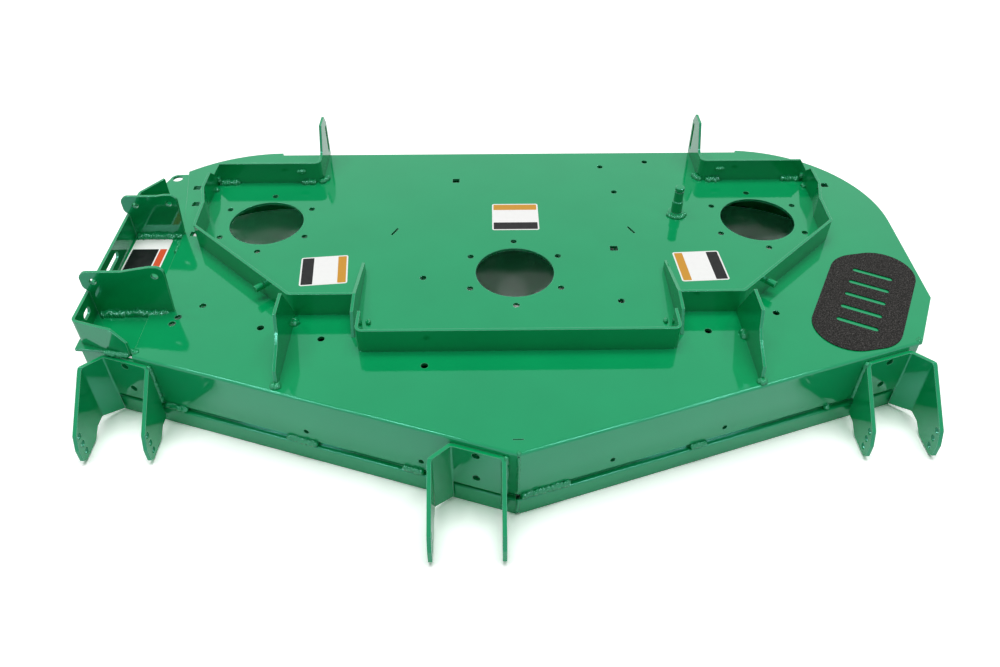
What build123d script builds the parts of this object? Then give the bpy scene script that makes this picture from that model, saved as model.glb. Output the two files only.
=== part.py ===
from build123d import *
import os
from math import acos, atan2, cos, degrees, hypot, radians, sin, sqrt, tan

# A welded three-spindle mower deck shell with side discharge on the left.
# Millimetres. The origin is on the deck's top face at the centre spindle bore,
# +X to the right seen from the front, +Y to the rear, +Z up.

# Sheet and plate
sheet = 4.5                     # deck plate, skirts and rails
bar = 6.0                       # roller brackets
edge_bend = 4.0                 # outer radius of the folded edges
wall_bend = 9.0                 # centre-line radius of bends in rails and skirts

# Spindles
spindle_pitch = 432.0           # centre spindle to each outer one, sideways
spindle_setback = 145.0         # outer spindles stand behind the centre one
spindle_bore = 128.0
spindle_bolt_circle = 168.0
spindle_bolt_hole = 10.5
spindle_bolts = 6

# Deck outline
point_x = -5.0                  # the front point
point_y = -383.0
front_angle = 18.8              # each front edge runs back at this angle
right_front_out = 168.0         # right end of the front edge, outboard of the right spindle
right_side_out = 221.0          # right side's front corner, outboard of the right spindle
right_side_ahead = 220.0        # and ahead of it
rear_fold_out = 13.0            # each end of the rear fold, outboard of the outer spindle
fold_step = 3.5                 # rear fold, inside the corner arcs
corner_inset = 8.0              # rear corner arc's centre, inboard of the spindle
corner_radius = 238.0
left_corner_grow = 22.5         # the arc on the discharge side is wider by this
deck_depth = 124.0              # top face to the rim
front_wall = 84.0               # folded front flange, top face to its lower edge
point_gap = 1.5                 # each front flange stops short of the point
skirt_inset = 3.0               # plate overhang past the skirts
wall_hole = 8.0                 # small holes in the front flange
wall_hole_z = -68.0
wall_hole_offsets = [133, 301]  # either side of the point

# Discharge side
seam_front_out = 131.0          # left edge of the deck plate at the front, outboard of the left spindle
seam_bend_out = 137.0           # the same at its front bend
seam_bend_ahead = 35.0          # front bend ahead of the left spindle
seam_mid_out = 165.0            # the same at its rear bend
seam_mid_back = 98.0            # rear bend behind the left spindle
seam_rear_out = 181.0           # the same at the rear
seam_lap = 24.0                 # discharge plate under the deck plate, at the front
seam_rear_lap = 34.0            # the same behind the rear bend
discharge_front_out = 223.0     # discharge plate's left edge, outboard of the left spindle
discharge_rear_out = 230.0      # the same at its rear end
discharge_rear_back = 90.0      # rear end behind the left spindle
lobe_out = 199.0                # hole lobe at the rear of the discharge plate
lobe_back = 155.0               # lobe behind the left spindle
lobe_hole = 19.0
lobe_rim = 4.0
lip = 8.0                       # discharge plate's lip past its front wall
lip_out = 189.0                 # where the lip starts
rail_inset = 4.5                # discharge rail from the plate's edge
rail_top = 40.0
rail_rear_in = 38.0             # discharge rail's rear end, inboard of the plate's rear corner
rail_rear_ahead = 7.0           # and ahead of it
rail_bend_ahead = 51.0          # rail's bend ahead of that corner
return_gap = 4.0                # rail's front return, short of the seam
return_drop = 20.0
return_end_height = 20.0
rail_slot_y = 4.0
rail_slot_z = 20.0
rail_slot_length = 58.0
rail_slot_width = 13.0
rail_hole_y = -118.0
rail_hole_length = 24.0
ear_top = 77.0
ear_plate = 5.0
ear_hole = 10.5
hinge_drop = 17.0               # hinge line through both ears, below their left tops
hinge_inset = 20.5              # and from the plate's left edge
ear_hole_drop = 16.0            # each ear's right hole, below its right top
ear_hole_inset = 16.0           # and from its end
rear_ear_y = 114.0
rear_ear_rise = 2.0             # rear ear's right top above its left top
rear_ear_in = 1.0               # rear ear's right end past the seam line
front_ear_y = -90.0
front_ear_in = 39.0             # front ear's right end past the seam line
front_ear_rise = 8.0            # front ear's right top above its left top
ear_shoulder = 22.0             # level stretch of each ear's right top
ear_slope = 5.5                 # run of the slope between the tops, for each millimetre of rise
ear_lean = 4.5                  # ear's right end leans in to its foot by this much
ear_reach = 1.0                 # ear's lobe past the rail's outer face
ear_neck = 9.0                  # lobe's lower corner above the rail
ear_corner = 12.0

# Front edge bars
groove = 10.0                   # open groove between the front wall and the edge bar
angle_lap = 10.0                # edge bar's upper leg, lapped behind the front wall
angle_thick = 5.0
angle_proud = 3.5               # edge bar's front face ahead of the front wall
angle_left_in = 10.0            # left edge bar's end, inboard of the plate
angle_right_in = 16.0           # right edge bar's end, inboard of the front edge
angle_gap = 2.5                 # each edge bar stops short of the point

# Roller brackets
bracket_top = -10.0
bracket_bottom = -121.0
bracket_width = 104.0           # over both arms
bracket_bend = 7.0
flare_back = 27.0               # the outer arm steps outwards by this much
flare_forward = 25.0
axle_ahead = 75.0               # axle ahead of the wall, at the inner arm
axle_hole = 10.5
axle_top = -78.0
axle_pitch = 16.0
axle_rows = 3
arm_nose = 15.0                 # arm ahead of the axle
arm_heel = 30.0                 # arm's foot behind the axle
arm_notch = 18.0                # run of each slope of the notch behind the foot
bracket_hole = 11.0
bracket_hole_heights = [-18, -64]
left_bracket_in = 23.0          # inner arm's middle plane, inboard of the seam
centre_bracket_off = 19.0       # left of the point
right_bracket_in = 89.0         # inboard of the front edge's right end

# Rails and hangers on top
wall_height = 40.5              # belt rails and rear hangers
belt_rear_out = 116.0           # belt rail's rear end, outboard of the outer spindle
belt_corner_run = 29.0          # cut corner at its rear end
belt_corner_drop = 25.0
belt_jog_out = 116.0            # its jog
belt_jog_back = 53.5
belt_side_out = 103.5           # its side
belt_side_back = 6.0
belt_turn_out = 101.0           # its turn into the diagonal
belt_turn_ahead = 63.0          # turn ahead of the outer spindle
pocket_half = 345.0             # outer corner of the front hanger pocket
pocket_y = -101.0
inner_half = 246.0              # inner hanger plates
inner_rear_y = 8.0
inner_front_y = -156.0
inner_rear_height = 15.0
inner_nose_y = -138.0
inner_nose_height = 36.0
outer_half = 341.0              # outer hanger plates
outer_top = 82.0
outer_top_rear_y = -150.0
outer_top_front_y = -196.0
outer_step_y = -205.0           # front edge steps down to a sloping tail
outer_step_height = 56.0
outer_knee_y = -217.0
outer_knee_height = 44.0
outer_tail_y = -252.0
outer_tail_height = 25.0
outer_front_y = -256.0
channel_y = -185.0
channel_inset = 12.0            # channel's ends inside the inner hanger plates
channel_back_y = -142.0
hanger_inset = 101.0            # rear hangers ahead of the rear fold
rear_hanger_half = 354.0
hanger_end_lap = 6.0            # rear hanger's end, past the middle of the belt rail
hanger_corner_run = 17.0        # cut corner there
hanger_corner_drop = 25.0
arm_overhang = 3.0              # hanger arm past the rear fold
arm_top = 86.0
arm_corner_run = 14.0           # cut corner at the arm's top rear
arm_corner_drop = 19.0
arm_crest_inset = 44.5          # front of the arm's level top, ahead of the rear fold
arm_lean_inset = 70.5           # foot of its leaning front edge
arm_lean_bend = 10.0
arm_slot_inset = 12.5           # slot from the arm's rear edge
arm_slot_z = 39.0
arm_slot_length = 56.0
arm_slot_width = 11.0
stud_diameter = 11.0
stud_length = 15.0
stud_along = 0.74               # share of the diagonal, from its rear end
stud_z = 21.0

# Idler post
post_x = 291.0
post_y = 163.0
post_foot = 28.0
post_foot_height = 6.0
post_shank = 19.0
post_shank_top = 27.0
post_neck = 16.0
post_groove = 13.0              # diameter in the retaining groove
post_groove_z = 47.0
post_groove_width = 3.0
post_top = 56.0
post_chamfer = 1.5

# Small openings in the deck plate
round_hole = 11.0
square_hole = 13.0
round_hole_places = [
    (172, 324), (189, 236), (260, 341), (-149, -14), (165, -76), (-136, -217),
    (-388, -132), (-293, -158), (400, -108), (287, -148), (-519, -106), (-524, -121), (-488, -79),
]
square_hole_places = [(-103, 278), (169, 62), (584, 254), (-551, 113)]
seam_holes = [(17.5, 206), (17.5, 260)]  # square holes through the lap: in from the seam, and y
slit_length = 22.0              # slanted slits behind the centre spindle
slit_width = 4.0
slit_half = 205.0
slit_y = 115.0
slit_angle = 63.0
point_slit_back = 26.0          # slit behind the front point
point_slit_length = 15.0
point_slit_width = 1.5

# Inner baffle
baffle_overlap = 5.0            # baffle arcs reach this far past half the spindle spacing
baffle_thick = 3.0
baffle_rim = 12.0               # baffle stops this far above the rim
baffle_right_end = -30.0        # arc ends about the outer spindles, degrees
baffle_left_end = -118.0

# Step mat
mat_x = 548.0
mat_y = -77.0
mat_side = 139.0                # straight part of each long side
mat_angle = 61.8
mat_end = 24.7                  # straight part of each end
mat_end_angle = 10.3
mat_corner = 55.2
mat_thick = 1.6
mat_slot_length = 62.0
mat_slot_width = 9.0
mat_slot_pitch = 34.0
mat_slots = 5

seat_gap = 0.3                  # clearance between neighbouring plates

# Places worked out from the sizes above
right_front_x = spindle_pitch + right_front_out
right_side_x = spindle_pitch + right_side_out
right_side_y = spindle_setback - right_side_ahead
rear_fold_half = spindle_pitch + rear_fold_out
seam_front_x = -spindle_pitch - seam_front_out
seam_bend_x = -spindle_pitch - seam_bend_out
seam_bend_y = spindle_setback - seam_bend_ahead
seam_mid_x = -spindle_pitch - seam_mid_out
seam_mid_y = spindle_setback + seam_mid_back
seam_rear_x = -spindle_pitch - seam_rear_out
discharge_front_x = -spindle_pitch - discharge_front_out
discharge_rear_x = -spindle_pitch - discharge_rear_out
discharge_rear_y = spindle_setback + discharge_rear_back
lobe_x = -spindle_pitch - lobe_out
lobe_y = spindle_setback + lobe_back
lip_back_x = -spindle_pitch - lip_out
rail_rear_x = discharge_rear_x + rail_rear_in
rail_rear_y = discharge_rear_y - rail_rear_ahead
rail_bend_y = discharge_rear_y - rail_bend_ahead
return_end_x = seam_front_x - return_gap
rear_ear_right = seam_front_x + rear_ear_in
front_ear_right = seam_front_x + front_ear_in
angle_left_x = discharge_front_x + angle_left_in
angle_right_x = right_front_x - angle_right_in
left_bracket_x = seam_front_x + left_bracket_in
centre_bracket_x = point_x - centre_bracket_off
right_bracket_x = right_front_x - right_bracket_in
rail_rear_half = spindle_pitch + belt_rear_out
rail_jog_half = spindle_pitch + belt_jog_out
rail_jog_y = spindle_setback + belt_jog_back
rail_side_half = spindle_pitch + belt_side_out
rail_side_y = spindle_setback + belt_side_back
rail_turn_half = spindle_pitch + belt_turn_out
rail_turn_y = spindle_setback - belt_turn_ahead
rear_hanger_end = rail_rear_half + hanger_end_lap
point_slit_y = point_y + point_slit_back
baffle_radius = hypot(spindle_pitch, spindle_setback) / 2 + baffle_overlap
spindles = [(0, 0), (-spindle_pitch, spindle_setback), (spindle_pitch, spindle_setback)]
lean = radians(front_angle)
front_slope = tan(lean)
front_reach = cos(lean)
sides = {"left": -1, "right": 1}
brackets = {"left": (left_bracket_x, -1), "centre": (centre_bracket_x, -1), "right": (right_bracket_x, 1)}


def front_y(x, ahead=0.0):
    """Y of the front edge at x, or of a line that far ahead of it."""
    return point_y + abs(x - point_x) * front_slope - ahead / front_reach


def circle_y(centre_x, centre_y, radius, x):
    """Upper y of a circle at x."""
    return centre_y + sqrt(radius**2 - (x - centre_x) ** 2)


def tangent_from(px, py, cx, cy, radius):
    """Touching point, on the outboard side, of the line from (px, py) to a circle."""
    turn = acos(radius / hypot(px - cx, py - cy))
    angle = atan2(py - cy, px - cx) + turn
    return (cx + radius * cos(angle), cy + radius * sin(angle))


def front_band(x0, x1, ahead, behind):
    """Corners of a band that follows the front edge from x0 to x1, on one side of the point."""
    return (
        (x0, front_y(x0, ahead)),
        (x1, front_y(x1, ahead)),
        (x1, front_y(x1, -behind)),
        (x0, front_y(x0, -behind)),
    )


def wall_plane(x):
    """Plane on the front wall at x, with z up the page and its normal pointing forwards."""
    side = 1 if x > point_x else -1
    return Plane(
        origin=(x, front_y(x), 0),
        x_dir=(cos(lean), side * sin(lean), 0),
        z_dir=(side * sin(lean), -cos(lean), 0),
    )


def bracket_bolt_x(inner_x, outward):
    """X of the bolt holes in a bracket's back, midway between its arm and its step."""
    return inner_x + outward * (bracket_width - bar - flare_back) / 2


def bent_strip(points, bend, thickness, bottom):
    """Plan face, at the height of its bottom edge, of sheet bent along a path."""
    with BuildSketch(Plane.XY.offset(bottom)) as strip:
        with BuildLine():
            FilletPolyline(*points, radius=bend)
        trace(line_width=thickness)
    return strip.sketch


def save(builder, node):
    builder.part.label = node
    export_step(builder.part, f"parts/{node}.step")


os.makedirs("parts", exist_ok=True)

# Deck plate: one folded sheet with a flange along each front edge and the rear
corner_x = spindle_pitch - corner_inset
right_corner_y = front_y(right_front_x)
side_touch = tangent_from(right_side_x, right_side_y, corner_x, spindle_setback, corner_radius)
right_step_y = circle_y(corner_x, spindle_setback, corner_radius, rear_fold_half)
rear_y = right_step_y - fold_step
left_corner_x = -spindle_pitch - corner_inset
left_corner_y = spindle_setback - left_corner_grow
left_corner_radius = corner_radius + left_corner_grow
left_step_y = circle_y(left_corner_x, left_corner_y, left_corner_radius, -rear_fold_half)
seam_rear_y = circle_y(left_corner_x, left_corner_y, left_corner_radius, seam_rear_x)
left_arc_mid_x = (seam_rear_x - rear_fold_half) / 2
left_arc_mid_y = circle_y(left_corner_x, left_corner_y, left_corner_radius, left_arc_mid_x)
arc_mid = radians(45)
bracket_bolt_places = [bracket_bolt_x(*bracket) for bracket in brackets.values()]


def seam_x(y):
    """X of the deck plate's left edge at y, ahead of its rear bend."""
    if y < seam_bend_y:
        front = front_y(seam_front_x)
        return seam_front_x + (y - front) / (seam_bend_y - front) * (seam_bend_x - seam_front_x)
    return seam_bend_x + (y - seam_bend_y) / (seam_mid_y - seam_bend_y) * (seam_mid_x - seam_bend_x)


seam_hole_places = [(seam_x(y) + inset, y) for inset, y in seam_holes]

with BuildPart() as deck_plate:
    with BuildSketch(Plane.XY.offset(-sheet)):
        with BuildLine():
            Polyline(
                (seam_front_x, front_y(seam_front_x)),
                (point_x, point_y),
                (right_front_x, right_corner_y),
                (right_side_x, right_side_y),
                side_touch,
            )
            ThreePointArc(
                side_touch,
                (corner_x + corner_radius * cos(arc_mid), spindle_setback + corner_radius * sin(arc_mid)),
                (rear_fold_half, right_step_y),
            )
            Polyline(
                (rear_fold_half, right_step_y),
                (rear_fold_half, rear_y),
                (-rear_fold_half, rear_y),
                (-rear_fold_half, left_step_y),
            )
            ThreePointArc(
                (-rear_fold_half, left_step_y),
                (left_arc_mid_x, left_arc_mid_y),
                (seam_rear_x, seam_rear_y),
            )
            Polyline(
                (seam_rear_x, seam_rear_y),
                (seam_mid_x, seam_mid_y),
                (seam_bend_x, seam_bend_y),
                (seam_front_x, front_y(seam_front_x)),
            )
        make_face()
        with Locations(*spindles):
            Circle(spindle_bore / 2, mode=Mode.SUBTRACT)
        for spindle in spindles:
            with Locations(spindle):
                with PolarLocations(spindle_bolt_circle / 2, spindle_bolts, start_angle=30):
                    Circle(spindle_bolt_hole / 2, mode=Mode.SUBTRACT)
        with Locations(*round_hole_places):
            Circle(round_hole / 2, mode=Mode.SUBTRACT)
        with Locations(*square_hole_places, *seam_hole_places):
            Rectangle(square_hole, square_hole, mode=Mode.SUBTRACT)
        for side in sides.values():
            with Locations((side * slit_half, slit_y)):
                SlotOverall(slit_length, slit_width, rotation=-side * slit_angle, mode=Mode.SUBTRACT)
        with Locations((point_x, point_slit_y)):
            SlotOverall(point_slit_length, point_slit_width, mode=Mode.SUBTRACT)
    extrude(amount=sheet)
    with BuildSketch(Plane.XY.offset(-front_wall)):
        Polygon(*front_band(seam_front_x, point_x - point_gap, 0, sheet), align=None)
        Polygon(*front_band(point_x + point_gap, right_front_x - sheet, 0, sheet), align=None)
    extrude(amount=front_wall - sheet / 2)
    with BuildSketch(Plane.XY.offset(-deck_depth)):
        with Locations((0, rear_y - sheet / 2)):
            Rectangle(2 * rear_fold_half, sheet)
    extrude(amount=deck_depth - sheet / 2)
    top_edges = deck_plate.faces().sort_by(Axis.Z)[-1].outer_wire().edges()
    front_edges = top_edges.filter_by(GeomType.LINE).filter_by(
        lambda edge: abs(edge.center().Y - front_y(edge.center().X)) < sheet / 10
    )
    rear_edges = top_edges.filter_by(lambda edge: abs(edge.center().Y - rear_y) < sheet / 10)
    fillet(front_edges + rear_edges, radius=edge_bend)
    for offset_x in wall_hole_offsets:
        for side in sides.values():
            with BuildSketch(wall_plane(point_x + side * offset_x)):
                with Locations((0, wall_hole_z)):
                    Circle(wall_hole / 2)
            extrude(amount=-2 * sheet, mode=Mode.SUBTRACT)
    for bolt_x in bracket_bolt_places:
        with BuildSketch(wall_plane(bolt_x)):
            with Locations(*[(0, height) for height in bracket_hole_heights]):
                Circle(bracket_hole / 2)
        extrude(amount=-2 * sheet, mode=Mode.SUBTRACT)
save(deck_plate, "deck_plate")

# Discharge plate: lapped under the deck plate's left edge
lobe_radius = lobe_hole / 2 + lobe_rim
under = -sheet
with BuildPart() as discharge_plate:
    with BuildSketch(Plane.XY.offset(under - sheet)):
        with BuildLine():
            Polyline(
                (seam_front_x + seam_lap, front_y(seam_front_x + seam_lap, -2 * sheet)),
                (seam_front_x, front_y(seam_front_x, -2 * sheet)),
                (lip_back_x, front_y(lip_back_x)),
                (discharge_front_x, front_y(discharge_front_x, lip)),
                (discharge_rear_x, discharge_rear_y),
                (lobe_x - lobe_radius, lobe_y),
                (lobe_x, lobe_y + lobe_radius),
                (seam_rear_x, seam_rear_y - skirt_inset),
                (seam_rear_x + seam_rear_lap, seam_rear_y - 2 * seam_lap),
                (seam_mid_x + seam_rear_lap, seam_mid_y),
                close=True,
            )
        make_face()
        with Locations((lobe_x, lobe_y)):
            Circle(lobe_radius)
            Circle(lobe_hole / 2, mode=Mode.SUBTRACT)
        with Locations(*seam_hole_places):
            Rectangle(square_hole, square_hole, mode=Mode.SUBTRACT)
    extrude(amount=sheet)
save(discharge_plate, "discharge_plate")


def left_edge_x(y):
    """X of the discharge plate's left edge at y."""
    front = front_y(discharge_front_x, lip)
    share = (y - front) / (discharge_rear_y - front)
    return discharge_front_x + share * (discharge_rear_x - discharge_front_x)


# Discharge rail: bent strip along the plate's left and front edges, with a tapered return
rail_line = rail_inset + sheet / 2
rail_front_y = front_y(discharge_front_x + rail_line, -rail_line)
rail_bend_x = left_edge_x(rail_bend_y) + rail_line
with BuildPart() as discharge_rail:
    rail_path = [
        (rail_rear_x, rail_rear_y),
        (rail_bend_x, rail_bend_y),
        (left_edge_x(rail_front_y) + rail_line, rail_front_y),
        (return_end_x, front_y(return_end_x, -rail_line)),
    ]
    extrude(bent_strip(rail_path, wall_bend, sheet, under), amount=rail_top - under)
    with BuildSketch(Plane.XZ):
        with BuildLine():
            Polyline(
                (return_end_x - return_drop, rail_top),
                (return_end_x, return_end_height),
                (return_end_x + sheet, return_end_height),
                (return_end_x + sheet, rail_top),
                close=True,
            )
        make_face()
    extrude(amount=-point_y, mode=Mode.SUBTRACT)
    with BuildSketch(Plane.YZ.offset(discharge_rear_x - rail_line)):
        with Locations((rail_slot_y, rail_slot_z)):
            SlotOverall(rail_slot_length, rail_slot_width)
        with Locations((rail_hole_y, rail_slot_z)):
            SlotOverall(rail_hole_length, rail_slot_width)
    extrude(amount=4 * rail_line, mode=Mode.SUBTRACT)
save(discharge_rail, "discharge_rail")


# Chute ears: upright plates across the discharge plate, stepped up onto the deck plate
for node, ear_y, right_x, rise in (
    ("rear_chute_ear", rear_ear_y, rear_ear_right, rear_ear_rise),
    ("front_chute_ear", front_ear_y, front_ear_right, front_ear_rise),
):
    inner_x = left_edge_x(ear_y) + rail_line + sheet
    lobe_edge_x = left_edge_x(ear_y) + rail_inset - ear_reach
    step_x = seam_x(ear_y) - ear_reach
    with BuildPart() as ear:
        with BuildSketch(Plane.XZ.offset(-ear_y - ear_plate / 2)):
            with BuildLine():
                Polyline(
                    (inner_x, under),
                    (inner_x, rail_top + ear_reach),
                    (lobe_edge_x, rail_top + ear_neck),
                    (lobe_edge_x, ear_top),
                    (right_x - ear_shoulder - ear_slope * rise, ear_top),
                    (right_x - ear_shoulder, ear_top + rise),
                    (right_x, ear_top + rise),
                    (right_x - ear_lean, 0),
                    (step_x, 0),
                    (step_x, under),
                    close=True,
                )
            make_face()
            with Locations(
                (discharge_front_x + hinge_inset, ear_top - hinge_drop),
                (right_x - ear_hole_inset, ear_top + rise - ear_hole_drop),
            ):
                Circle(ear_hole / 2, mode=Mode.SUBTRACT)
        extrude(amount=ear_plate)
        cross_edges = ear.edges().filter_by(Axis.Y)
        lobe_edges = cross_edges.group_by(Axis.X)[0]
        shoulder_edge = cross_edges.group_by(Axis.Z)[-1].sort_by(Axis.X)[-1:]
        fillet(lobe_edges + shoulder_edge, radius=ear_corner)
    save(ear, node)

# Discharge front wall: closes the front below the discharge plate
with BuildPart() as discharge_front_wall:
    with BuildSketch(Plane.XY.offset(-front_wall)):
        Polygon(*front_band(discharge_front_x + sheet, seam_front_x - seat_gap, 0, sheet), align=None)
    extrude(amount=front_wall + under - sheet)
    for bolt_x in bracket_bolt_places:
        with BuildSketch(wall_plane(bolt_x)):
            with Locations(*[(0, height) for height in bracket_hole_heights]):
                Circle(bracket_hole / 2)
        extrude(amount=-2 * sheet, mode=Mode.SUBTRACT)
save(discharge_front_wall, "discharge_front_wall")

# Side skirts: bent strips under the rear corners
skirt_line = skirt_inset + sheet / 2
skirt_radius = corner_radius - skirt_line
skirt_touch = tangent_from(
    right_side_x - skirt_line, right_side_y, corner_x, spindle_setback, skirt_radius
)
skirt_end_x = rear_fold_half + seat_gap
with BuildPart() as right_skirt:
    with BuildSketch(Plane.XY.offset(-deck_depth)):
        with BuildLine():
            Polyline(
                (right_front_x - skirt_line, right_corner_y + 2 * skirt_line),
                (right_side_x - skirt_line, right_side_y),
                skirt_touch,
            )
            ThreePointArc(
                skirt_touch,
                (corner_x + skirt_radius * cos(arc_mid), spindle_setback + skirt_radius * sin(arc_mid)),
                (skirt_end_x, circle_y(corner_x, spindle_setback, skirt_radius, skirt_end_x)),
            )
        trace(line_width=sheet)
    extrude(amount=deck_depth - sheet)
save(right_skirt, "right_skirt")

left_radius = left_corner_radius - skirt_line
left_end_x = seam_mid_x
left_mid_x = (left_end_x - skirt_end_x) / 2
with BuildPart() as left_skirt:
    with BuildSketch(Plane.XY.offset(-deck_depth)):
        with BuildLine():
            ThreePointArc(
                (-skirt_end_x, circle_y(left_corner_x, left_corner_y, left_radius, -skirt_end_x)),
                (left_mid_x, circle_y(left_corner_x, left_corner_y, left_radius, left_mid_x)),
                (left_end_x, circle_y(left_corner_x, left_corner_y, left_radius, left_end_x)),
            )
        trace(line_width=sheet)
    extrude(amount=deck_depth - sheet)
    add(discharge_plate.part, mode=Mode.SUBTRACT)
save(left_skirt, "left_skirt")

# Front edge bars: joggled strips whose upper leg laps behind the front wall
ledge = front_wall + groove
for node, x0, x1 in (
    ("left_edge_angle", point_x - angle_gap, angle_left_x),
    ("right_edge_angle", point_x + angle_gap, angle_right_x),
):
    with BuildPart() as edge_angle:
        with BuildSketch(Plane.XY.offset(-deck_depth)):
            Polygon(*front_band(x0, x1, angle_proud, angle_thick - angle_proud), align=None)
        extrude(amount=deck_depth - ledge)
        with BuildSketch(Plane.XY.offset(-ledge - angle_thick)):
            Polygon(*front_band(x0, x1, angle_proud, sheet + angle_thick), align=None)
        extrude(amount=angle_thick)
        with BuildSketch(Plane.XY.offset(-ledge - angle_thick)):
            Polygon(*front_band(x0, x1, -sheet, sheet + angle_thick), align=None)
        extrude(amount=angle_thick + groove + angle_lap)
        nose = edge_angle.edges().filter_by(
            lambda edge: abs(edge.center().Y - front_y(edge.center().X, angle_proud)) < angle_thick / 10
            and abs(edge.center().Z + ledge) < angle_thick / 10
        )
        fillet(nose, radius=angle_thick / 2)
    save(edge_angle, node)


# Roller brackets: bent bars on the front wall whose arms carry a roller axle.
# The arm away from the point steps outwards.
bottom_hole = axle_top - (axle_rows - 1) * axle_pitch
seat = bar / 2
for name, (inner_x, outward) in brackets.items():
    outer_x = inner_x + outward * (bracket_width - bar)
    step_x = outer_x - outward * flare_back
    step_y = front_y(step_x, seat)
    axle_y = front_y(inner_x) - axle_ahead
    nose_y = axle_y - arm_nose - bar
    bracket_path = [
        (inner_x, nose_y),
        (inner_x, front_y(inner_x, seat)),
        (step_x, step_y),
        (outer_x, step_y - flare_forward),
        (outer_x, nose_y),
    ]
    angle_end_x = angle_left_x if outward < 0 else angle_right_x
    with BuildPart() as bracket:
        bracket_strip = bent_strip(bracket_path, bracket_bend, bar, bracket_bottom)
        extrude(bracket_strip, amount=bracket_top - bracket_bottom)
        with BuildSketch(Plane.YZ.offset(min(inner_x, outer_x) - bar)):
            with BuildLine():
                Polyline(
                    (axle_y + axle_ahead - seat, bracket_top),
                    (axle_y - bar, axle_top + bar),
                    (axle_y - arm_nose, axle_top - axle_pitch),
                    (axle_y - arm_nose, bottom_hole - bar),
                    (axle_y - bar, bracket_bottom),
                    (axle_y + arm_heel, bracket_bottom),
                    (axle_y + arm_heel + arm_notch, bottom_hole),
                    (axle_y + arm_heel + 2 * arm_notch, bottom_hole),
                    (axle_y + axle_ahead + flare_forward, bracket_bottom),
                    (axle_y + 2 * axle_ahead, bracket_bottom),
                    (axle_y + 2 * axle_ahead, bracket_top),
                    close=True,
                )
            make_face()
            with Locations((axle_y, (axle_top + bottom_hole) / 2)):
                with GridLocations(0, axle_pitch, 1, axle_rows):
                    Circle(axle_hole / 2, mode=Mode.SUBTRACT)
        extrude(amount=bracket_width + bar, mode=Mode.INTERSECT)
        with BuildSketch(Plane.XY.offset(bracket_bottom)):
            Polygon(
                *front_band(point_x + outward, angle_end_x + outward, bar + seat_gap, sheet),
                align=None,
            )
        extrude(amount=-front_wall - bracket_bottom, mode=Mode.SUBTRACT)
        with BuildSketch(wall_plane(bracket_bolt_x(inner_x, outward))):
            with Locations(*[(0, height) for height in bracket_hole_heights]):
                Circle(bracket_hole / 2)
        extrude(amount=2 * bar, mode=Mode.SUBTRACT)
    save(bracket, f"{name}_roller_bracket")

# Belt rails: bent strips round the outer spindles, from the rear hanger to the back of the hanger pocket
rear_hanger_y = rear_y - hanger_inset
belt_end_y = rear_hanger_y - sheet / 2
rails = {}
for name, side in sides.items():
    with BuildPart() as belt_rail:
        rail_path = [
            (side * rail_rear_half, belt_end_y),
            (side * rail_jog_half, rail_jog_y),
            (side * rail_side_half, rail_side_y),
            (side * rail_turn_half, rail_turn_y),
            (side * pocket_half, pocket_y),
            (side * (inner_half + sheet / 2), pocket_y),
        ]
        extrude(bent_strip(rail_path, wall_bend, sheet, 0), amount=wall_height)
        with BuildSketch(Plane.YZ.offset(side * rail_rear_half)):
            Polygon(
                (belt_end_y, wall_height),
                (belt_end_y - belt_corner_run, wall_height),
                (belt_end_y, wall_height - belt_corner_drop),
                align=None,
            )
        extrude(amount=sheet, both=True, mode=Mode.SUBTRACT)
    rails[name] = belt_rail.part
    save(belt_rail, f"{name}_belt_rail")

# Rear hangers: bent plate whose upright arm has a long slot near its rear edge
arm_rear_y = rear_y + arm_overhang
arm_slot_y = arm_rear_y - arm_slot_inset
for name, side in sides.items():
    with BuildPart() as rear_hanger:
        hanger_path = [
            (side * rear_hanger_end, rear_hanger_y),
            (side * rear_hanger_half, rear_hanger_y),
            (side * rear_hanger_half, arm_rear_y),
        ]
        extrude(bent_strip(hanger_path, wall_bend, sheet, 0), amount=arm_top)
        with BuildSketch(Plane.YZ):
            with BuildLine():
                Polyline(
                    (rear_hanger_y - sheet, wall_height),
                    (rear_hanger_y - sheet, 0),
                    (arm_rear_y, 0),
                    (arm_rear_y, arm_top - arm_corner_drop),
                    (arm_rear_y - arm_corner_run, arm_top),
                    (rear_y - arm_crest_inset, arm_top),
                )
                FilletPolyline(
                    (rear_y - arm_crest_inset, arm_top),
                    (rear_y - arm_lean_inset, wall_height),
                    (rear_hanger_y - sheet, wall_height),
                    radius=arm_lean_bend,
                )
            make_face()
            with Locations((arm_slot_y, arm_slot_z)):
                SlotOverall(arm_slot_length, arm_slot_width, rotation=90, mode=Mode.SUBTRACT)
        extrude(amount=rear_hanger_end, both=True, mode=Mode.INTERSECT)
        with BuildSketch(Plane.XZ.offset(-rear_hanger_y + sheet)):
            Polygon(
                (side * rear_hanger_end, wall_height),
                (side * (rear_hanger_end - hanger_corner_run), wall_height),
                (side * rear_hanger_end, wall_height - hanger_corner_drop),
                align=None,
            )
        extrude(amount=-2 * sheet, mode=Mode.SUBTRACT)
    save(rear_hanger, f"{name}_rear_hanger")

# Inner hanger plates
for name, side in sides.items():
    with BuildPart() as inner_plate:
        with BuildSketch(Plane.YZ.offset(side * inner_half - sheet / 2)):
            with BuildLine():
                Polyline(
                    (inner_rear_y, 0),
                    (inner_rear_y, inner_rear_height),
                    (pocket_y, wall_height),
                    (inner_nose_y, inner_nose_height),
                    (inner_front_y, 0),
                    close=True,
                )
            make_face()
        extrude(amount=sheet)
    save(inner_plate, f"{name}_inner_hanger_plate")

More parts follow.
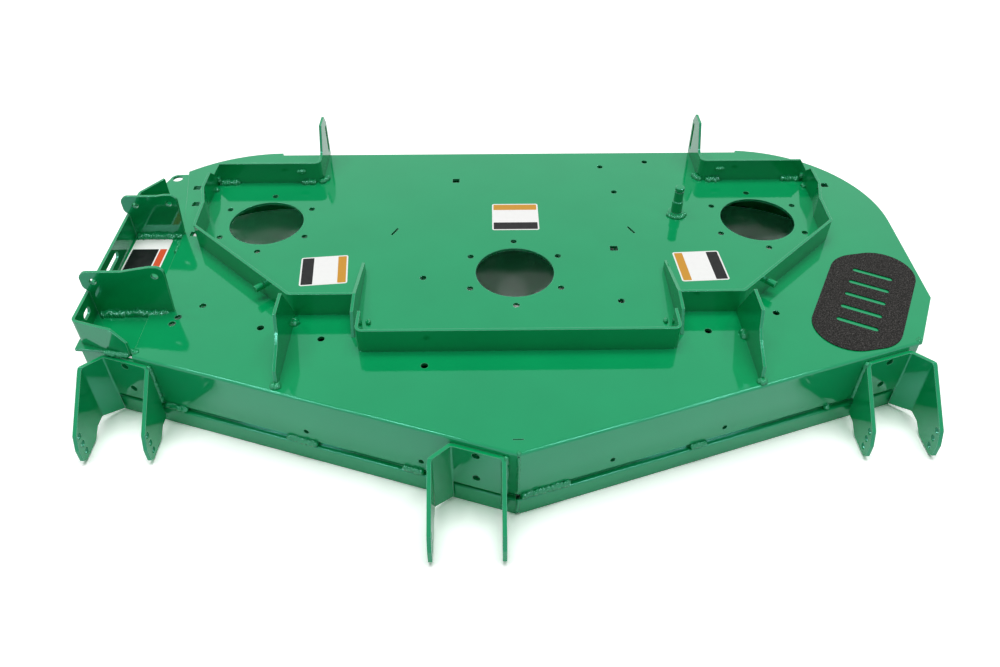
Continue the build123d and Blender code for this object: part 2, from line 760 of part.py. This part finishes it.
# Outer hanger plates: tall gussets that run forward from the belt rail's corner
for name, side in sides.items():
    with BuildPart() as outer_plate:
        with BuildSketch(Plane.YZ.offset(side * outer_half - sheet / 2)):
            with BuildLine():
                Polyline(
                    (pocket_y, 0),
                    (outer_top_rear_y, outer_top),
                    (outer_top_front_y, outer_top),
                    (outer_step_y, outer_step_height),
                    (outer_knee_y, outer_knee_height),
                    (outer_tail_y, outer_tail_height),
                    (outer_front_y, 0),
                    close=True,
                )
            make_face()
        extrude(amount=sheet)
        add(rails[name], mode=Mode.SUBTRACT)
    save(outer_plate, f"{name}_outer_hanger_plate")

# Cross channel between the inner plates
channel_half = inner_half - channel_inset
with BuildPart() as cross_channel:
    channel_path = [
        (-channel_half, channel_back_y),
        (-channel_half, channel_y),
        (channel_half, channel_y),
        (channel_half, channel_back_y),
    ]
    extrude(bent_strip(channel_path, wall_bend, sheet, 0), amount=wall_height)
save(cross_channel, "cross_channel")

# Cover studs on the outer faces of the belt rails
for name, side in sides.items():
    run_x = pocket_half - rail_turn_half
    run_y = pocket_y - rail_turn_y
    run = hypot(run_x, run_y)
    stud_plane = Plane(
        origin=(side * (rail_turn_half + stud_along * run_x), rail_turn_y + stud_along * run_y, stud_z),
        z_dir=(-side * run_y / run, run_x / run, 0),
    )
    with BuildPart() as cover_stud:
        with BuildSketch(stud_plane.offset(sheet / 2)):
            Circle(stud_diameter / 2)
        extrude(amount=stud_length)
    save(cover_stud, f"{name}_cover_stud")

# Idler post: turned, with a weld foot and a retaining groove near its top
with BuildPart() as idler_post:
    with BuildSketch(Plane(origin=(post_x, post_y, 0), x_dir=(1, 0, 0), z_dir=(0, -1, 0))):
        with BuildLine():
            Polyline(
                (0, 0),
                (post_foot / 2, 0),
                (post_foot / 2, post_foot_height),
                (post_shank / 2, post_foot_height),
                (post_shank / 2, post_shank_top),
                (post_neck / 2, post_shank_top + post_chamfer),
                (post_neck / 2, post_groove_z),
                (post_groove / 2, post_groove_z),
                (post_groove / 2, post_groove_z + post_groove_width),
                (post_neck / 2, post_groove_z + post_groove_width),
                (post_neck / 2, post_top - post_chamfer),
                (post_neck / 2 - post_chamfer, post_top),
                (0, post_top),
                close=True,
            )
        make_face()
    revolve(axis=Axis((post_x, post_y, 0), (0, 0, 1)))
save(idler_post, "idler_post")

# Front baffle: three arcs that follow the blade tips and meet in cusps between the spindles
spindle_lean = degrees(atan2(spindle_setback, spindle_pitch))
cusp = degrees(acos(hypot(spindle_pitch, spindle_setback) / 2 / baffle_radius))
cusp_angle = spindle_lean - cusp
outer_start = spindle_lean + cusp - 180
baffle_arcs = [
    ((0, 0), cusp_angle, -180 - 2 * cusp_angle),
    ((spindle_pitch, spindle_setback), outer_start, baffle_right_end - outer_start),
    ((-spindle_pitch, spindle_setback), -180 - outer_start, baffle_left_end + 180 + outer_start),
]
with BuildPart() as front_baffle:
    with BuildSketch(Plane.XY.offset(-deck_depth + baffle_rim)):
        for centre, start, sweep_angle in baffle_arcs:
            with BuildLine():
                CenterArc(centre, baffle_radius, start, sweep_angle)
            trace(line_width=baffle_thick)
    extrude(amount=deck_depth - baffle_rim - sheet)
save(front_baffle, "front_baffle")

# Step mat: grit strip with cross slots, laid on the right front of the deck
mat_along = Vector(mat_side / 2, 0).rotate(Axis.Z, mat_angle)
mat_across = Vector(mat_end / 2, 0).rotate(Axis.Z, mat_end_angle)
with BuildPart() as step_mat:
    with BuildSketch(Plane(origin=(mat_x, mat_y, 0))):
        Polygon(
            mat_along + mat_across,
            mat_along - mat_across,
            -mat_along - mat_across,
            -mat_along + mat_across,
            align=None,
        )
        offset(amount=mat_corner, kind=Kind.ARC)
        with Locations(Location((0, 0), mat_angle)):
            with GridLocations(mat_slot_pitch, 0, mat_slots, 1):
                SlotOverall(mat_slot_length, mat_slot_width, rotation=90, mode=Mode.SUBTRACT)
    extrude(amount=mat_thick)
save(step_mat, "step_mat")
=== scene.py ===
"""Looks of the lawn mower deck: green powder coat, weld beads, blank labels and a gritty step mat."""
from math import cos, pi, radians, sin, sqrt, tan

import bpy
from mathutils import Matrix, Vector, noise


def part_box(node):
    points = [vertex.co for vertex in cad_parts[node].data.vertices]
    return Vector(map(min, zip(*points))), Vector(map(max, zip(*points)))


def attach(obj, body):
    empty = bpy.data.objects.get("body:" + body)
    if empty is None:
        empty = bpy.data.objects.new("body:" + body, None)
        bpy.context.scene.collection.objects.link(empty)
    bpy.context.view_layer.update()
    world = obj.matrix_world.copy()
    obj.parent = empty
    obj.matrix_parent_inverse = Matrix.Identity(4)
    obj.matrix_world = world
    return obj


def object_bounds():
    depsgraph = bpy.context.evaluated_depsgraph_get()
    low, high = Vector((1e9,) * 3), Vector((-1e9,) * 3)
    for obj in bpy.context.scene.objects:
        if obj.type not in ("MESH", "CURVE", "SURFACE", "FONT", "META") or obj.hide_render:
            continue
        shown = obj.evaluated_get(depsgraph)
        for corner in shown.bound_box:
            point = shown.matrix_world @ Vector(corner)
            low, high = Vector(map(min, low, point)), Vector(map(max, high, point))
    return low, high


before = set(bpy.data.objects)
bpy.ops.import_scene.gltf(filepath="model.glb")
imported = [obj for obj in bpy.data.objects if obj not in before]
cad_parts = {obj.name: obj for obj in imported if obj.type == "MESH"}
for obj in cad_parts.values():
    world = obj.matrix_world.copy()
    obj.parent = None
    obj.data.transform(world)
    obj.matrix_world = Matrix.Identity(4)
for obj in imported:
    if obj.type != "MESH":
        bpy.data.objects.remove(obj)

cad_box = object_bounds()
MM = 0.001

# The deck, in millimetres
rim_z = cad_box[0].z / MM
sheet = 4.5
front_angle = radians(18.8)                  # each front edge runs back at this angle
groove_top, groove_bottom = -84.0, -94.0     # open groove between the front wall and its edge bar


def node_box(name):
    """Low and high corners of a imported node."""
    low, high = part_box(name)
    return low / MM, high / MM


point_x = -5.0                               # the front point
point_y = node_box("deck_plate")[0].y


def front_y(x):
    """The deck's front edge at this x."""
    return point_y + tan(front_angle) * abs(x - point_x)


# Materials
def new_material(name):
    material = bpy.data.materials.new(name)
    material.use_nodes = True
    tree = material.node_tree
    return material, tree, tree.nodes["Principled BSDF"]


def noise_at(tree, scale, detail=2.0, roughness=0.5):
    """A noise texture in object coordinates, scale in cells per metre."""
    coords = tree.nodes.new("ShaderNodeTexCoord")
    texture = tree.nodes.new("ShaderNodeTexNoise")
    texture.inputs["Scale"].default_value = scale
    texture.inputs["Detail"].default_value = detail
    texture.inputs["Roughness"].default_value = roughness
    tree.links.new(coords.outputs["Object"], texture.inputs["Vector"])
    return texture.outputs["Fac"]


def ramp(tree, source, stops):
    """Colours at places along a factor."""
    node = tree.nodes.new("ShaderNodeValToRGB")
    elements = node.color_ramp.elements
    while len(elements) < len(stops):
        elements.new(0.5)
    for element, (place, colour) in zip(elements, stops):
        element.position = place
        element.color = (*colour, 1.0)
    tree.links.new(source, node.inputs["Fac"])
    return node.outputs["Color"]


def stretch(tree, source, source_range, result_range):
    """A value of one range carried over to another, and held at its ends."""
    node = tree.nodes.new("ShaderNodeMapRange")
    node.inputs["From Min"].default_value, node.inputs["From Max"].default_value = source_range
    node.inputs["To Min"].default_value, node.inputs["To Max"].default_value = result_range
    tree.links.new(source, node.inputs["Value"])
    return node.outputs["Result"]


def mix(tree, factor, first, second):
    """The first colour turned into the second by a factor. Each is a colour or a socket."""
    node = tree.nodes.new("ShaderNodeMix")
    node.data_type = "RGBA"
    tree.links.new(factor, node.inputs["Factor"])
    for key, colour in [("A", first), ("B", second)]:
        if isinstance(colour, tuple):
            node.inputs[key].default_value = (*colour, 1.0)
        else:
            tree.links.new(colour, node.inputs[key])
    return node.outputs["Result"]


def bump(tree, source, strength, depth, normal=None):
    node = tree.nodes.new("ShaderNodeBump")
    node.inputs["Strength"].default_value = strength
    node.inputs["Distance"].default_value = depth
    tree.links.new(source, node.inputs["Height"])
    if normal:
        tree.links.new(normal, node.inputs["Normal"])
    return node.outputs["Normal"]


noise_range = (0.3, 0.7)                     # where nearly all of a noise texture lies
coat_shades = [(0.3, (0.001, 0.294, 0.089)), (0.7, (0.002, 0.318, 0.099))]
# Painted highlight: a pale green mixed into the coat along edges, standing in for the light that rounded
# edges catch
painted_edge_highlight = (0.30, 0.72, 0.52)
painted_highlight_lean = (0.98, 0.80)                     # cosine of the lean where an edge starts and is full
grit_shades = [
    (0.35, (0.010, 0.010, 0.009)), (0.52, (0.028, 0.027, 0.026)), (0.70, (0.120, 0.115, 0.110))]


def green_paint(name, gloss_tint, edge_radius, painted_highlight_share, peel_strength):
    """Gloss powder coat: even green, a faint orange peel, and softened edges with a painted highlight along
    them.
    """
    material, tree, shader = new_material(name)
    shades = ramp(tree, noise_at(tree, 9.0, 3.0), coat_shades)
    roughness = stretch(tree, noise_at(tree, 30.0, 4.0), noise_range, (0.05, 0.09))
    tree.links.new(roughness, shader.inputs["Roughness"])
    shader.inputs["IOR"].default_value = 1.90
    shader.inputs["Specular Tint"].default_value = (*gloss_tint, 1.0)
    soft_edge = tree.nodes.new("ShaderNodeBevel")
    soft_edge.samples = 4
    soft_edge.inputs["Radius"].default_value = edge_radius * MM
    # Painted highlight: the coat is paler where the softened normal leans away from the flat face, standing
    # in for the light that rounded edges catch
    flat = tree.nodes.new("ShaderNodeNewGeometry")
    lean = tree.nodes.new("ShaderNodeVectorMath")
    lean.operation = "DOT_PRODUCT"
    tree.links.new(soft_edge.outputs["Normal"], lean.inputs[0])
    tree.links.new(flat.outputs["True Normal"], lean.inputs[1])
    painted_highlight_mask = stretch(tree, lean.outputs["Value"], painted_highlight_lean, (0.0, painted_highlight_share))
    tree.links.new(mix(tree, painted_highlight_mask, shades, painted_edge_highlight), shader.inputs["Base Color"])
    peel = bump(tree, noise_at(tree, 260.0, 1.0), peel_strength, 0.0004, soft_edge.outputs["Normal"])
    tree.links.new(peel, shader.inputs["Normal"])
    return material


def grit_mat():
    """Charcoal anti-slip sheet: mineral grains in a matt binder."""
    material, tree, shader = new_material("grit_mat")
    grains = noise_at(tree, 520.0, 3.0, 0.7)
    tree.links.new(ramp(tree, grains, grit_shades), shader.inputs["Base Color"])
    roughness = stretch(tree, noise_at(tree, 300.0), noise_range, (0.75, 0.95))
    tree.links.new(roughness, shader.inputs["Roughness"])
    shader.inputs["Specular IOR Level"].default_value = 0.15
    tree.links.new(bump(tree, grains, 0.8, 0.0008), shader.inputs["Normal"])
    return material


def label_vinyl(name, colour):
    """Printed vinyl, faintly uneven, with a satin face."""
    material, tree, shader = new_material(name)
    paler = tuple(0.97 * c + 0.008 for c in colour)
    print_shades = ramp(tree, noise_at(tree, 120.0, 3.0), [(0.35, colour), (0.7, paler)])
    tree.links.new(print_shades, shader.inputs["Base Color"])
    roughness = stretch(tree, noise_at(tree, 60.0), noise_range, (0.28, 0.40))
    tree.links.new(roughness, shader.inputs["Roughness"])
    shader.inputs["Specular IOR Level"].default_value = 0.25
    return material


# The sheet paint carries the painted edge highlight; the weld paint has none
sheet_paint = green_paint(
    "green_paint", gloss_tint=(0.34, 1.00, 0.90), edge_radius=1.2, painted_highlight_share=0.75, peel_strength=0.06)
weld_paint = green_paint(
    "green_weld_paint", gloss_tint=(0.45, 1.00, 0.92), edge_radius=0.3, painted_highlight_share=0.0, peel_strength=0.3)
mat_grit = grit_mat()
vinyl_white = label_vinyl("label_white", (0.90, 0.90, 0.89))
vinyl_amber = label_vinyl("label_amber", (0.62, 0.30, 0.035))
vinyl_red = label_vinyl("label_red", (0.68, 0.09, 0.03))
vinyl_charcoal = label_vinyl("label_charcoal", (0.008, 0.008, 0.009))

for node_name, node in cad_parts.items():
    node.data.materials.clear()
    node.data.materials.append(mat_grit if node_name == "step_mat" else sheet_paint)


def new_piece(name, vertices, faces, materials, face_materials=None, smooth=False):
    """A mesh piece, given in millimetres, that rides on the deck."""
    mesh = bpy.data.meshes.new(name)
    mesh.from_pydata([Vector(v) * MM for v in vertices], [], faces)
    for material in materials:
        mesh.materials.append(material)
    for polygon, index in zip(mesh.polygons, face_materials or [0] * len(faces)):
        polygon.material_index = index
        polygon.use_smooth = smooth
    mesh.update()
    piece = bpy.data.objects.new(name, mesh)
    bpy.context.scene.collection.objects.link(piece)
    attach(piece, "root")


# Weld beads
ring_step = 0.8
ring_sides = 12
end_share = 0.25                             # a bead's ends, as a share of its radius
ripple_pitch = 3.2
ripple_low, ripple_rise = 0.80, 0.36         # a ripple's height along its pitch, in shares of the radius
broad_lump, broad_pitch = 0.35, 6.0
fine_lump, fine_pitch = 0.30, 2.4
bead_z = 0.8                                 # a bead's middle above the plate


def along(route):
    """Points every ring_step along a route, with the tangent and the distance there."""
    total = 0.0
    for start, end in zip(route, route[1:]):
        run = end - start
        count = max(2, round(run.length / ring_step))
        for step in range(count):
            yield start + run * step / count, run.normalized(), total + run.length * step / count
        total += run.length
    yield route[-1], (route[-1] - route[-2]).normalized(), total


def weld(name, route, radius):
    """A bead of overlapping ripples along a route, lumpy, with rounded ends."""
    route = [Vector(p) for p in route]
    length = sum((b - a).length for a, b in zip(route, route[1:]))
    seed = Vector((sum(map(ord, name)) * 0.37, len(name), 0.0))
    vertices, faces = [], []
    for centre, tangent, distance in along(route):
        side = tangent.cross(Vector((0, 0, 1))) if abs(tangent.z) < 0.9 else Vector((1, 0, 0))
        side.normalize()
        up = side.cross(tangent)
        end = min(distance, length - distance, radius) / radius
        taper = end_share + (1 - end_share) * sqrt(max(0.0, 1 - (1 - end) ** 2))
        for k in range(ring_sides):
            turn = 2 * pi * k / ring_sides
            outward = side * cos(turn) + up * sin(turn)
            crescent = distance + 0.5 * radius * cos(turn) ** 2
            ripple = ripple_low + ripple_rise * (1 - (crescent / ripple_pitch) % 1.0)
            skin = centre + outward * radius
            lump = (1 + broad_lump * noise.noise(seed + skin / broad_pitch)
                    + fine_lump * noise.noise(seed + skin / fine_pitch))
            vertices.append(centre + outward * (radius * taper * ripple * lump))
    rings = len(vertices) // ring_sides
    for r in range(rings - 1):
        for k in range(ring_sides):
            a, b = r * ring_sides + k, r * ring_sides + (k + 1) % ring_sides
            faces.append((a, b, b + ring_sides, a + ring_sides))
    faces.append(tuple(range(ring_sides))[::-1])
    faces.append(tuple(range(len(vertices) - ring_sides, len(vertices))))
    new_piece(name, vertices, faces, [weld_paint], smooth=True)


# Front wall: runs in the groove above the edge bars, and the joint at the point
groove_z = (groove_top + groove_bottom) / 2
groove_runs = [(-339, -291), (-166, -135), (-1, 69), (246, 271), (-533, -497), (462, 470)]
for number, ends in enumerate(groove_runs):
    weld(f"weld_front_{number}", [(x, front_y(x) - 0.5, groove_z) for x in ends], 5.2)
weld("weld_point_seam", [(point_x, point_y + 1, z) for z in (-6, groove_top)], 2.2)
weld("weld_point_bar", [(point_x, point_y - 1, z) for z in (groove_bottom, rim_z + 3)], 3.6)
weld("weld_point_top", [(point_x + x, point_y + 3, 0) for x in (-3, 3)], 3.0)

# Roller brackets: down the joint of each inner arm and the front wall
for name, x in [("left", -537.5), ("centre", -21.5), ("right", 508.5)]:
    weld(f"weld_{name}_bracket_arm", [(x, front_y(x) - 2, z) for z in (-8, groove_top)], 3.8)

# Rear hangers: along the foot of the wall, round the arm's bend, and up the corner with the belt rail
hanger_y = node_box("left_rear_hanger")[0].y - 1.0
arm_bend = [(357, 272), (348, 282), (345, 294)]
rail_corner = 544.0
for side, sign in [("left", -1), ("right", 1)]:
    for number, ends in enumerate([(364, 392), (505, 543)]):
        weld(f"weld_{side}_rear_hanger_{number}", [(sign * x, hanger_y, bead_z) for x in ends], 7.0)
    weld(f"weld_{side}_rear_hanger_arm", [(sign * x, y, 1.0) for x, y in arm_bend], 6.0)
    weld(f"weld_{side}_rear_hanger_wall", [(sign * 380, hanger_y, 25), (sign * 397, hanger_y, 24)], 4.2)
    weld(f"weld_{side}_rail_corner", [(sign * rail_corner, hanger_y - 1, z) for z in (1, 15)], 5.0)
    weld(f"weld_{side}_rail_foot", [(sign * rail_corner, hanger_y - y, 1) for y in (18, 30)], 4.8)

# Front hanger plates
for side, runs in [
        ("left", [[(-338, -112), (-338, -130)], [(-350, -257), (-334, -256)],
                  [(-230, -123), (-222, -123)]]),
        ("right", [[(338, -148), (338, -168)], [(334, -256), (349, -257)],
                   [(223, -125), (230, -125)]])]:
    for number, run in enumerate(runs):
        weld(f"weld_{side}_hanger_plate_{number}", [(*p, bead_z) for p in run], 6.0)

# Discharge side, and the corner across from it
for ear, left_gap, right_gap in [("rear_chute_ear", 8.0, 6.0), ("front_chute_ear", 10.0, 10.0)]:
    low, high = node_box(ear)
    weld(f"weld_{ear}_base",
         [(x, low.y - 1.0, low.z + 1.0) for x in (low.x + left_gap, high.x - right_gap)], 7.2)
weld("weld_seam_corner", [(-569, -180, -1.5), (-555, -183, -1.0)], 5.2)
weld("weld_front_seam", [(-610, -177, -5), (-569, -185.5, -4)], 4.6)
weld("weld_seam_side", [(-569.5, 90, -2.5), (-568.5, 62, -2.5)], 4.0)
weld("weld_right_corner", [(592, -175, -2.0), (602, -168, -2.0)], 4.2)

# Idler post: round the front half of its foot
low, high = node_box("idler_post")
post = (low + high) / 2
foot_radius = 14.0
foot_steps = 12
foot_turns = [pi + pi * k / foot_steps for k in range(foot_steps + 1)]
weld("weld_idler_post", [(post.x + foot_radius * cos(turn), post.y + foot_radius * sin(turn), bead_z)
                         for turn in foot_turns], 4.8)

# Blank labels
label_corner = 4.0
label_film = 0.20
label_margin = 2.5
print_film = 0.03
print_corner = 1.5


def rounded(width, depth, radius, steps=6):
    """Points round a rounded rectangle about the origin."""
    points = []
    for quarter, (sx, sy) in enumerate([(1, 1), (-1, 1), (-1, -1), (1, -1)]):
        for k in range(steps + 1):
            turn = pi / 2 * (quarter + k / steps)
            points.append((sx * (width / 2 - radius) + radius * cos(turn),
                           sy * (depth / 2 - radius) + radius * sin(turn)))
    return points


def label(name, centre, size, turn, base_z, fields):
    """A vinyl label with plain printed fields: (x share from, to, y share from, to, material)."""
    vertices, faces, picks, materials = [], [], [], [vinyl_white]
    spin = Matrix.Rotation(radians(turn), 3, "Z")

    def slab(outline, offset, low, high, material):
        if material not in materials:
            materials.append(material)
        first, count = len(vertices), len(outline)
        for z in (low, high):
            corner = Vector((*centre, base_z + z))
            for x, y in outline:
                vertices.append(corner + spin @ Vector((x + offset[0], y + offset[1], 0)))
        sides = [(first + k, first + (k + 1) % count, first + count + (k + 1) % count, first + count + k)
                 for k in range(count)]
        caps = [tuple(range(first, first + count))[::-1], tuple(range(first + count, first + 2 * count))]
        faces.extend(sides + caps)
        picks.extend([materials.index(material)] * (count + 2))

    width, depth = size
    slab(rounded(width, depth, label_corner), (0, 0), 0.0, label_film, vinyl_white)
    inner_w, inner_d = width - 2 * label_margin, depth - 2 * label_margin
    for x0, x1, y0, y1, material in fields:
        middle = ((x0 + x1 - 1) / 2 * inner_w, (y0 + y1 - 1) / 2 * inner_d)
        slab(rounded((x1 - x0) * inner_w, (y1 - y0) * inner_d, print_corner), middle,
             label_film, label_film + print_film, material)
    new_piece(name, vertices, faces, materials, picks)


label("label_centre", (4.9, 157.7), (82, 81), 0.0, 0.0,
      [(0, 1, 0.78, 1, vinyl_amber), (0, 1, 0, 0.27, vinyl_charcoal)])
label("label_left", (-312, 7.6), (77, 75), 5.4, 0.0,
      [(0.81, 1, 0, 1, vinyl_amber), (0, 0.26, 0, 1, vinyl_charcoal)])
label("label_right", (306, 11.7), (78, 78), 3.0, 0.0,
      [(0, 0.19, 0, 1, vinyl_amber), (0.74, 1, 0, 1, vinyl_charcoal)])
label("label_discharge", (-616.5, 58.5), (63, 90), 0.0, -sheet,
      [(0.80, 1, 0, 0.70, vinyl_red), (0, 0.76, 0, 0.70, vinyl_charcoal)])


def grey(level):
    return level, level, level


# Floor: white paper just under the rim, lifted a little for the camera so that only shadows show
floor_half = 30.0
floor_z = rim_z * MM - 0.0002
floor_corners = [(-1, -1), (1, -1), (1, 1), (-1, 1)]
mesh = bpy.data.meshes.new("floor")
mesh.from_pydata([(x * floor_half, y * floor_half, floor_z) for x, y in floor_corners], [], [(0, 1, 2, 3)])
floor = bpy.data.objects.new("floor", mesh)
bpy.context.scene.collection.objects.link(floor)
paper = bpy.data.materials.new("floor_paper")
paper.use_nodes = True
tree = paper.node_tree
tree.nodes.clear()
ray = tree.nodes.new("ShaderNodeLightPath")
matt = tree.nodes.new("ShaderNodeBsdfDiffuse")
output = tree.nodes.new("ShaderNodeOutputMaterial")
tree.links.new(mix(tree, ray.outputs["Is Camera Ray"], grey(1.00), grey(1.30)), matt.inputs["Color"])
tree.links.new(matt.outputs["BSDF"], output.inputs["Surface"])
mesh.materials.append(paper)

# World: dim light all round, and a white studio low down in what the camera and reflections see
world = bpy.data.worlds.new("studio")
bpy.context.scene.world = world
world.use_nodes = True
tree = world.node_tree
coords = tree.nodes.new("ShaderNodeTexCoord")
split = tree.nodes.new("ShaderNodeSeparateXYZ")
tree.links.new(coords.outputs["Generated"], split.inputs["Vector"])
sky = ramp(tree, split.outputs["Z"], [
    (0.0, grey(1.00)), (0.34, grey(1.00)), (0.60, grey(0.85)), (0.74, grey(0.78)), (1.0, grey(0.65))])
ray = tree.nodes.new("ShaderNodeLightPath")
seen = tree.nodes.new("ShaderNodeMath")
seen.operation = "MAXIMUM"
tree.links.new(ray.outputs["Is Camera Ray"], seen.inputs[0])
tree.links.new(ray.outputs["Is Glossy Ray"], seen.inputs[1])
tree.links.new(mix(tree, seen.outputs["Value"], grey(0.02), sky), tree.nodes["Background"].inputs["Color"])

# Lamps: one broad soft lamp overhead, kept out of reflections, and small ones round it that glint on
# the edges and weld beads. Each has its azimuth, elevation, strength and angle.
for name, azimuth, elevation, strength, angle in [
        ("overhead", 180, 80, 1.92, 34),
        ("near_left", -20, 49, 0.12, 7), ("near_right", 20, 49, 0.12, 7),
        ("front_left", -58, 48, 0.15, 7), ("front_right", 58, 48, 0.15, 7),
        ("high_left", -75, 68, 0.26, 8), ("high_right", 75, 68, 0.26, 8),
        ("back_left", -115, 60, 0.24, 8), ("back_right", 115, 60, 0.24, 8)]:
    sun = bpy.data.lights.new(name, "SUN")
    sun.energy = strength
    sun.angle = radians(angle)
    lamp = bpy.data.objects.new(name, sun)
    turn, rise = radians(azimuth), radians(elevation)
    towards = Vector((sin(turn) * cos(rise), -cos(turn) * cos(rise), sin(rise)))
    lamp.rotation_euler = towards.to_track_quat("Z", "Y").to_euler()
    lamp.visible_glossy = name != "overhead"
    bpy.context.scene.collection.objects.link(lamp)

# Camera
camera_down = 42.2715                        # degrees below the horizon
camera_turn = -0.7734                        # degrees about Z
lens = bpy.data.cameras.new("camera")
lens.sensor_width = 36.0
lens.lens = 29.928
lens.clip_start, lens.clip_end = 0.05, 100.0
camera = bpy.data.objects.new("camera", lens)
camera.location = (-0.038773, -1.071860, 0.838362)
camera.rotation_euler = (radians(90 - camera_down), 0, radians(camera_turn))
bpy.context.scene.collection.objects.link(camera)
bpy.context.scene.camera = camera
bpy.context.scene.view_settings.view_transform = "Standard"
